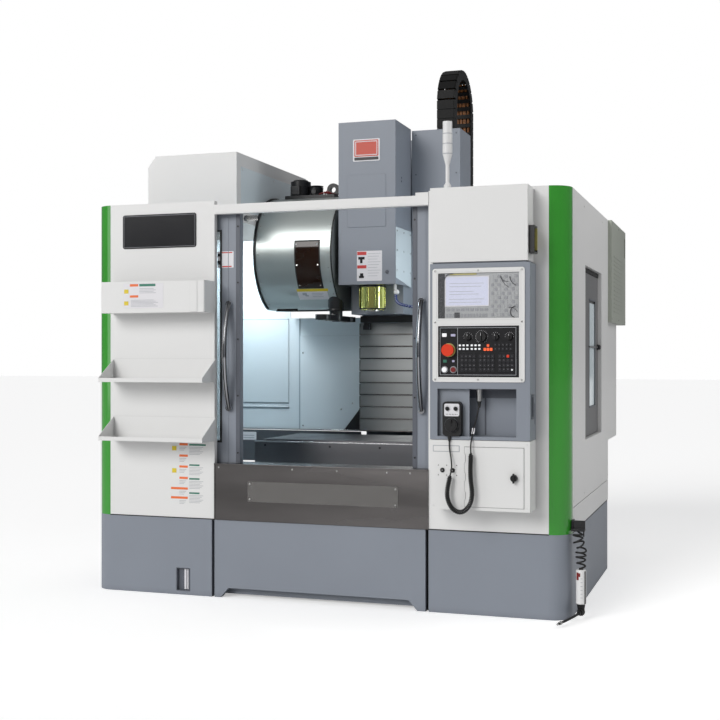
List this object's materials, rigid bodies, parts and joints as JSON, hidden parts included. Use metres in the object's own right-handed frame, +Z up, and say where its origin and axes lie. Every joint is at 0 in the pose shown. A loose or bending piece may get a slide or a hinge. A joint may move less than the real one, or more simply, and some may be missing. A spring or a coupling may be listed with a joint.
{
  "type": "vertical machining center",
  "caption": "Vertical machining centre in a white and green enclosure with sliding doors, spindle head, drum tool magazine, slotted table, console and hand pendant.",
  "frame": {"origin": "on the floor, at the middle of the machine's bounding box without the hanging cable, hose and air gun", "axes": "+X to the operator's right, +Y away from the operator, +Z up"},
  "size_m": [2.4695, 2.3765, 2.867],
  "materials": {
    "white_paint": "smooth off-white powder coat",
    "green_paint": "glossy green paint",
    "grey_paint": "blue-grey machine paint, slightly textured",
    "unit_paint": "grey-green powder coat",
    "casting_paint": "painted casting",
    "stainless": "brushed stainless sheet",
    "inner_sheet": "pale glossy sheet",
    "ground_steel": "ground steel",
    "machined_nose": "polished, warm reflections",
    "drum_sheet": "silver-grey metallic sheet",
    "bright_chrome": "mirror chrome tube",
    "window": "clear safety glass",
    "black_metal": "satin black",
    "black_plastic": "moulded black plastic",
    "screen": "display unit under film",
    "panel_film": "black membrane panel",
    "stop_red": "glossy red",
    "button_white": "white translucent button",
    "button_red": "glossy dark red",
    "lamp_white": "white translucent plastic",
    "hose_rubber": "black curled hose",
    "coolant_blue": "blue segmented hose",
    "gun_white": "white sleeve, black head"
  },
  "bodies": {
    "machine": {"base_skirts": "grey_paint", "machine_bed": "casting_paint", "front_panels": "white_paint", "corner_trims": "green_paint", "side_panels": "white_paint", "top_beam": "white_paint", "splash_guard": "stainless", "interior_panels": "inner_sheet", "front_shelves": "white_paint", "console_hood": "white_paint", "console_housing": "grey_paint", "console_bezel": "white_paint", "display_unit": "screen", "control_panel": "panel_film", "pendant_body": "black_plastic", "pendant_connector": "ground_steel", "pendant_cable": "hose_rubber", "pendant_curl": "hose_rubber", "lower_box": "white_paint", "lower_box_lid": "white_paint", "signal_lamp": "lamp_white", "electrical_cabinet": "white_paint", "cooling_unit": "unit_paint", "column": "casting_paint", "column_cover": "grey_paint", "way_cover": "stainless", "magazine_drum": "drum_sheet", "magazine_drive": "black_metal", "magazine_housing": "white_paint", "energy_chain": "black_plastic", "air_hose": "hose_rubber", "air_gun": "gun_white"},
    "left_door": {"door_left": "grey_paint", "door_glass_left": "window", "handle_left": "bright_chrome"},
    "right_door": {"door_right": "grey_paint", "door_glass_right": "window", "handle_right": "bright_chrome"},
    "saddle": {"saddle": "casting_paint"},
    "table": {"work_table": "ground_steel"},
    "head": {"spindle_head": "grey_paint", "head_cover": "grey_paint", "spindle_nose": "machined_nose", "coolant_hose": "coolant_blue"},
    "spindle": {"spindle": "ground_steel"},
    "tool_disc": {"tool_disc": "ground_steel"},
    "tool_arm": {"tool_arm": "black_metal"},
    "side_door": {"side_door": "white_paint"},
    "latch": {"latch_knob": "black_plastic"},
    "stop_button": {"emergency_stop": "stop_red"},
    "start_button": {"start_button": "button_white"},
    "hold_button": {"hold_button": "button_red"},
    "feed_dial": {"feed_dial": "black_plastic"},
    "mode_knob": {"mode_knob": "black_plastic"},
    "rapid_knob": {"rapid_knob": "black_plastic"},
    "spindle_knob": {"spindle_knob": "black_plastic"},
    "pendant_wheel": {"pendant_wheel": "black_plastic"},
    "pendant_axis_knob": {"pendant_axis_knob": "black_plastic"},
    "pendant_step_knob": {"pendant_step_knob": "black_plastic"},
    "gun_trigger": {"gun_trigger": "black_plastic"}
  },
  "joints": [
    {"name": "left_door_slide", "type": "slide", "parent": "machine", "child": "left_door", "axis": [1, 0, 0], "range_m": [0, 0.438]},
    {"name": "right_door_slide", "type": "slide", "parent": "machine", "child": "right_door", "axis": [-1, 0, 0], "range_m": [0, 0.438]},
    {"name": "saddle_slide", "type": "slide", "parent": "machine", "child": "saddle", "axis": [0, 1, 0], "range_m": [-0.25, 0.24]},
    {"name": "table_slide", "type": "slide", "parent": "saddle", "child": "table", "axis": [1, 0, 0], "range_m": [-0.4, 0.4]},
    {"name": "head_slide", "type": "slide", "parent": "machine", "child": "head", "axis": [0, 0, 1], "range_m": [-0.5, 0], "deforming": ["way_cover", "energy_chain"]},
    {"name": "spindle_turn", "type": "hinge", "parent": "head", "child": "spindle", "pos_m": [-0.01, -0.1305, 1.5], "axis": [0, 0, 1], "continuous": true},
    {"name": "tool_disc_turn", "type": "hinge", "parent": "machine", "child": "tool_disc", "pos_m": [-0.41, 0.0495, 1.75], "axis": [1, 0, 0], "continuous": true},
    {"name": "tool_arm_turn", "type": "hinge", "parent": "machine", "child": "tool_arm", "pos_m": [-0.221, -0.1305, 1.39], "axis": [0, 0, 1], "range_deg": [0, 90]},
    {"name": "side_door_turn", "type": "hinge", "parent": "machine", "child": "side_door", "pos_m": [1.17, -0.49, 1.2], "axis": [0, 0, -1], "range_deg": [0, 90]},
    {"name": "latch_turn", "type": "hinge", "parent": "machine", "child": "latch", "pos_m": [0.971, -1.1555, 0.644], "axis": [0, -1, 0], "range_deg": [0, 90]},
    {"name": "stop_press", "type": "slide", "parent": "machine", "child": "stop_button", "axis": [0, 1, 0], "range_m": [0, 0.005]},
    {"name": "start_press", "type": "slide", "parent": "machine", "child": "start_button", "axis": [0, 1, 0], "range_m": [0, 0.003], "stiffness_N_per_m": 400},
    {"name": "hold_press", "type": "slide", "parent": "machine", "child": "hold_button", "axis": [0, 1, 0], "range_m": [0, 0.003], "stiffness_N_per_m": 400},
    {"name": "feed_dial_turn", "type": "hinge", "parent": "machine", "child": "feed_dial", "pos_m": [0.825, -1.1515, 1.264], "axis": [0, -1, 0], "range_deg": [-150, 150]},
    {"name": "mode_turn", "type": "hinge", "parent": "machine", "child": "mode_knob", "pos_m": [0.763, -1.1515, 1.264], "axis": [0, -1, 0], "range_deg": [-60, 150]},
    {"name": "rapid_turn", "type": "hinge", "parent": "machine", "child": "rapid_knob", "pos_m": [0.887, -1.1515, 1.264], "axis": [0, -1, 0], "range_deg": [-45, 45]},
    {"name": "spindle_override_turn", "type": "hinge", "parent": "machine", "child": "spindle_knob", "pos_m": [0.949, -1.1515, 1.264], "axis": [0, -1, 0], "range_deg": [-90, 90]},
    {"name": "pendant_wheel_turn", "type": "hinge", "parent": "machine", "child": "pendant_wheel", "pos_m": [0.692, -1.1635, 0.872], "axis": [0, -1, 0], "continuous": true},
    {"name": "pendant_axis_turn", "type": "hinge", "parent": "machine", "child": "pendant_axis_knob", "pos_m": [0.673, -1.1635, 0.945], "axis": [0, -1, 0], "range_deg": [-75, 75]},
    {"name": "pendant_step_turn", "type": "hinge", "parent": "machine", "child": "pendant_step_knob", "pos_m": [0.711, -1.1635, 0.945], "axis": [0, -1, 0], "range_deg": [-45, 45]},
    {"name": "trigger_squeeze", "type": "hinge", "parent": "machine", "child": "gun_trigger", "pos_m": [1.232, -0.9195, 0.041], "axis": [1, 0, 0], "range_deg": [0, 3], "stiffness_Nm_per_rad": 0.5}
  ]
}
